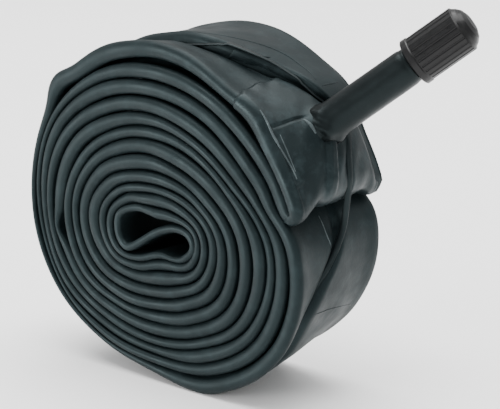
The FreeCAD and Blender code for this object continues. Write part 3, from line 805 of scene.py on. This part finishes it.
def rubber(name, dark, light, roughness, dust=0.35, grain=0.25, bloom_amount=0.55):
    """Butyl rubber: uneven grey bloom, fine grain, shallow dents and a few pale specks."""
    material, tree, shader = node_material(name)
    coordinates = tree.nodes.new("ShaderNodeTexCoord").outputs["Object"]
    broad = noise(tree, coordinates, 55.0, 4.0)
    cloud = ramp(tree, broad, [(0.32, grey(0.0)), (0.72, grey(1.0))])
    base = mix_colour(tree, cloud, dark, light)
    bloom = ramp(tree, noise(tree, coordinates, 260.0, 6.0, 0.65), [
        (0.50, grey(0.0)),
        (0.80, grey(bloom_amount)),
    ])
    base = mix_colour(tree, bloom, base, tuple(2.2 * c for c in light))
    specks = ramp(tree, noise(tree, coordinates, 700.0, 2.0), [(0.775, grey(0.0)), (0.84, grey(dust))])
    base = mix_colour(tree, specks, base, SPECK_COLOUR)
    tree.links.new(base, shader.inputs["Base Color"])
    shine = ramp(tree, noise(tree, coordinates, 140.0, 5.0), [
        (0.3, grey(roughness - 0.09)),
        (0.7, grey(roughness + 0.09)),
    ])
    tree.links.new(shine, shader.inputs["Roughness"])
    dents = bump(tree, noise(tree, coordinates, 90.0, 2.0), 0.3, 0.0006)
    skin = bump(tree, noise(tree, coordinates, 850.0, 3.0), 0.30, 0.00012, dents)
    fine = bump(tree, noise(tree, coordinates, 2600.0, 3.0), grain, 0.00008, skin)
    tree.links.new(fine, shader.inputs["Normal"])
    shader.inputs["Specular IOR Level"].default_value = 0.16
    shader.inputs["Specular Tint"].default_value = (0.74, 0.97, 1.0, 1.0)
    return material


def metal(name, colour, roughness):
    """Turned metal: fine lathe lines and slight tarnish."""
    material, tree, shader = node_material(name)
    coordinates = tree.nodes.new("ShaderNodeTexCoord").outputs["Object"]
    tarnish = ramp(tree, noise(tree, coordinates, 400.0, 4.0), [(0.35, grey(0.0)), (0.75, grey(1.0))])
    worn = tuple(c * 0.62 for c in colour)
    tree.links.new(mix_colour(tree, tarnish, colour, worn), shader.inputs["Base Color"])
    shader.inputs["Metallic"].default_value = 1.0
    rough = ramp(tree, noise(tree, coordinates, 1500.0, 2.0), [
        (0.3, grey(roughness - 0.06)),
        (0.7, grey(roughness + 0.1)),
    ])
    tree.links.new(rough, shader.inputs["Roughness"])
    lines = bump(tree, noise(tree, coordinates, 3000.0, 2.0), 0.15, 0.00003)
    tree.links.new(lines, shader.inputs["Normal"])
    return material


def moulded_plastic(name, colour, roughness):
    """Moulded black plastic with a fine spark texture."""
    material, tree, shader = node_material(name)
    coordinates = tree.nodes.new("ShaderNodeTexCoord").outputs["Object"]
    cloud = ramp(tree, noise(tree, coordinates, 300.0, 3.0), [(0.3, grey(0.0)), (0.8, grey(1.0))])
    lighter = tuple(c * 1.7 for c in colour)
    tree.links.new(mix_colour(tree, cloud, colour, lighter), shader.inputs["Base Color"])
    rough = ramp(tree, noise(tree, coordinates, 1200.0, 3.0), [
        (0.3, grey(roughness - 0.05)),
        (0.7, grey(roughness + 0.08)),
    ])
    tree.links.new(rough, shader.inputs["Roughness"])
    shader.inputs["Specular IOR Level"].default_value = 0.24
    texture = bump(tree, noise(tree, coordinates, 4200.0, 2.0), 0.12, 0.00004)
    tree.links.new(texture, shader.inputs["Normal"])
    return material


# Rubbed pale bloom on raised lines, and partly a painted highlight: its colour is about ten times
# lighter than the tube's, so that ridges, flash and a mould line read as bright lines.
WEAR_AND_HIGHLIGHT_RUBBER = rubber("wear_and_highlight_rubber", (0.030, 0.039, 0.041), (0.070, 0.084, 0.087), 0.30)
TUBE_RUBBER = rubber("tube_rubber", (0.0028, 0.0052, 0.0060), (0.0068, 0.0110, 0.0120), 0.50)
PATCH_RUBBER = rubber(
    "patch_rubber", (0.0034, 0.0060, 0.0068), (0.0086, 0.0130, 0.0142), 0.44, bloom_amount=0.95
)
STEM_RUBBER = rubber("stem_rubber", (0.0016, 0.0021, 0.0023), (0.0036, 0.0045, 0.0048), 0.36, dust=0.1)
BAND_RUBBER = rubber("band_rubber", (0.0036, 0.0050, 0.0056), (0.0075, 0.0100, 0.0107), 0.36)
SEAL_RUBBER = rubber("seal_rubber", (0.020, 0.020, 0.020), (0.035, 0.035, 0.035), 0.55)
CAP_PLASTIC = moulded_plastic("cap_plastic", (0.0022, 0.0023, 0.0025), 0.32)
BRASS = metal("brass", (0.72, 0.52, 0.25), 0.28)
PIN_BRASS = metal("pin_brass", (0.78, 0.62, 0.36), 0.24)
SPRING_STEEL = metal("spring_steel", (0.55, 0.55, 0.56), 0.22)

# the CAD nodes that stay as they are; the other four are replaced below
NODE_MATERIALS = {
    "cap_shell": CAP_PLASTIC,
    "valve_insert": BRASS,
    "core_plug": BRASS,
    "core_barrel": BRASS,
    "core_pin": PIN_BRASS,
    "core_cup": PIN_BRASS,
    "core_spring": SPRING_STEEL,
    "core_gasket": SEAL_RUBBER,
    "core_cup_seal": SEAL_RUBBER,
    "cap_seal": SEAL_RUBBER,
}
for node_name, node_material_used in NODE_MATERIALS.items():
    node_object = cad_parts[node_name]
    for slot in node_object.material_slots:
        slot.material = node_material_used
    if not node_object.material_slots:
        node_object.data.materials.append(node_material_used)


def place_piece(piece, node):
    """The piece rides on the roll; it may stand for a CAD node, which is then hidden."""
    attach(piece, "roll")
    if node:
        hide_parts(node)


stations = winding()
tube = build_tube(stations, TUBE_RUBBER)
place_piece(tube, "inner_tube")
patch = build_patch(stations, PATCH_RUBBER)
place_piece(patch, "valve_patch")
outside = surface_tree([tube, patch])
place_piece(build_band(outside, BAND_RUBBER), "retaining_band")
place_piece(build_stem(STEM_RUBBER), "valve_stem_rubber")

# Thin marks raised on the rubber: mould lines, ridges, flash and a crease. Each has a name, a slot,
# a material, a radius, and places as angle and depth. Most of the places follow a separate
# program's reading of points picked in the photograph.
# Beads given the lighter rubber below carry partly rubbed bloom and partly a painted highlight.
MOULD_LINES = (
    ("mould_line_top", "tube_rubber", TUBE_RUBBER, 0.20, (
        (90, -5.6), (79, -0.9), (70, 2.6), (63, 4.6), (56, 5.0), (50, 4.4),
    )),
    ("mould_line_lower", "tube_rubber", WEAR_AND_HIGHLIGHT_RUBBER, 0.16, (
        (5, -2.9), (1.4, -3.1), (-2.4, -3.0), (-9.0, -1.4),
    )),
    ("flash_tuft", "tube_rubber", TUBE_RUBBER, 0.30, ((66.5, -3.2), (65.4, -2.0), (64.6, -0.6))),
    ("cross_line_top", "tube_rubber", TUBE_RUBBER, 0.22, ((47.4, 4.6), (47.6, 7.8), (48.0, 11.2))),
    ("cross_line_lower", "tube_rubber", TUBE_RUBBER, 0.20, (
        (-26, -9.3), (-27.3, -5.5), (-28.6, -0.7), (-31.1, 5.1), (-34.9, 11.9),
    )),
    ("patch_ridge", "patch_rubber", WEAR_AND_HIGHLIGHT_RUBBER, 0.30, (
        (46, -15.0), (41.5, -15.1), (36, -15.1), (31.8, -14.8), (25, -14.3), (20.5, -14.2),
    )),
    ("patch_ridge_second", "patch_rubber", WEAR_AND_HIGHLIGHT_RUBBER, 0.20, (
        (36, -13.3), (30.5, -13.5), (26.4, -13.7), (23, -13.8),
    )),
    ("patch_flash", "patch_rubber", WEAR_AND_HIGHLIGHT_RUBBER, 0.42, ((38.4, -6.0), (35.4, -5.7), (32.6, -5.2))),
    ("fine_crease", "tube_rubber", TUBE_RUBBER, 0.16, (
        (70, -5.6), (67, -4.8), (60, -3.5), (55.8, -2.4),
    )),
)
for line_name, line_slot, line_material, line_radius, places in MOULD_LINES:
    bead = build_bead(outside, line_name, places, line_radius, line_material)
    place_piece(bead, None)


# ---------------------------------------------------------------- floor, light and camera

FLOOR_SIZE = 3.0
LIGHT_TARGET = (0.01, 0.0, 0.04)
# name, position, size and power
AREA_LIGHTS = (
    ("overhead", (-0.3, 0.1, 2.4), (2.6, 2.6), 150.0),
    ("key", (-0.50, -0.95, 0.14), (0.55, 0.26), 15.0),
    ("fill", (0.95, -0.35, 0.35), (0.5, 0.7), 1.6),
    ("rim", (0.25, 0.55, 0.75), (0.5, 0.3), 2.0),
)


def make_floor(lowest):
    across = ((-1, -1), (1, -1), (1, 1), (-1, 1))
    corners = [(x * FLOOR_SIZE, y * FLOOR_SIZE, lowest) for x, y in across]
    material, tree, shader = node_material("studio_floor")
    coordinates = tree.nodes.new("ShaderNodeTexCoord").outputs["Object"]
    tint = ramp(tree, noise(tree, coordinates, 6.0, 2.0), [(0.3, grey(0.93)), (0.7, grey(0.96))])
    tree.links.new(tint, shader.inputs["Base Color"])
    shader.inputs["Roughness"].default_value = 0.85
    floor = mesh_object("studio_floor", corners, [(0, 1, 2, 3)], material, smooth=False)


def add_area_light(name, position, target, size, power):
    data = bpy.data.lights.new(name, "AREA")
    data.shape = "RECTANGLE"
    data.size, data.size_y = size
    data.energy = power
    light = bpy.data.objects.new(name, data)
    light.location = position
    aim = Vector(target) - Vector(position)
    light.rotation_euler = aim.to_track_quat("-Z", "Y").to_euler()
    bpy.context.scene.collection.objects.link(light)


def make_studio(lowest):
    make_floor(lowest)
    world = bpy.data.worlds.new("studio")
    world.use_nodes = True
    background = world.node_tree.nodes["Background"]
    background.inputs["Color"].default_value = (1.0, 1.0, 1.0, 1.0)
    background.inputs["Strength"].default_value = 0.85
    bpy.context.scene.world = world
    for name, position, size, power in AREA_LIGHTS:
        add_area_light(name, position, LIGHT_TARGET, size, power)


CAMERA_AZIMUTH = 41.0
CAMERA_ELEVATION = 14.0
CAMERA_DISTANCE = 0.420
CAMERA_LENS = 134.0
CAMERA_TARGET = Vector((0.0136, -0.0034, 0.0415))


def make_camera():
    data = bpy.data.cameras.new("camera")
    data.lens = CAMERA_LENS
    data.sensor_width = 36.0
    camera = bpy.data.objects.new("camera", data)
    azimuth = math.radians(CAMERA_AZIMUTH)
    elevation = math.radians(CAMERA_ELEVATION)
    back = Vector((
        math.sin(azimuth) * math.cos(elevation),
        -math.cos(azimuth) * math.cos(elevation),
        math.sin(elevation),
    ))
    camera.location = CAMERA_TARGET + back * CAMERA_DISTANCE
    camera.rotation_euler = (-back).to_track_quat("-Z", "Y").to_euler()
    bpy.context.scene.collection.objects.link(camera)
    bpy.context.scene.camera = camera


make_camera()
VISUAL_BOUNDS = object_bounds()
make_studio(min(corner[2] for corner in VISUAL_BOUNDS))
